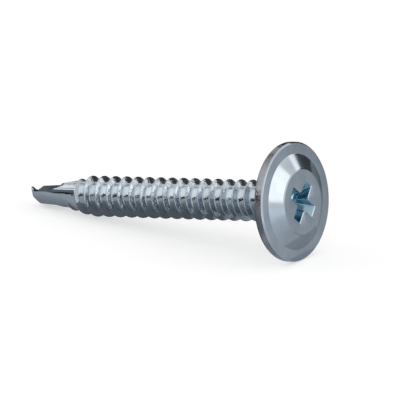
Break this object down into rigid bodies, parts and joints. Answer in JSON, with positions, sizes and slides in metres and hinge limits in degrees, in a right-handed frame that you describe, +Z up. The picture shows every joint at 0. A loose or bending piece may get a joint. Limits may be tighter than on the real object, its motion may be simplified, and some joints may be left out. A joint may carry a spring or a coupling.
{
  "type": "self drilling screw",
  "caption": "Self drilling screw with a wide low flanged head, a cross recess, a full length coarse thread and a fluted drill point.",
  "frame": {"origin": "on the surface the screw lies on, below the middle of its overall length", "axes": "+X towards the head along the surface, +Z up; the screw's own axis rises 8.8 degrees from +X towards the head, because the head's rim holds that end up"},
  "size_m": [0.033, 0.0118, 0.0117],
  "materials": {
    "plated_steel": "bright zinc plated"
  },
  "bodies": {
    "root": {"self_drilling_screw": "plated_steel"}
  },
  "joints": []
}
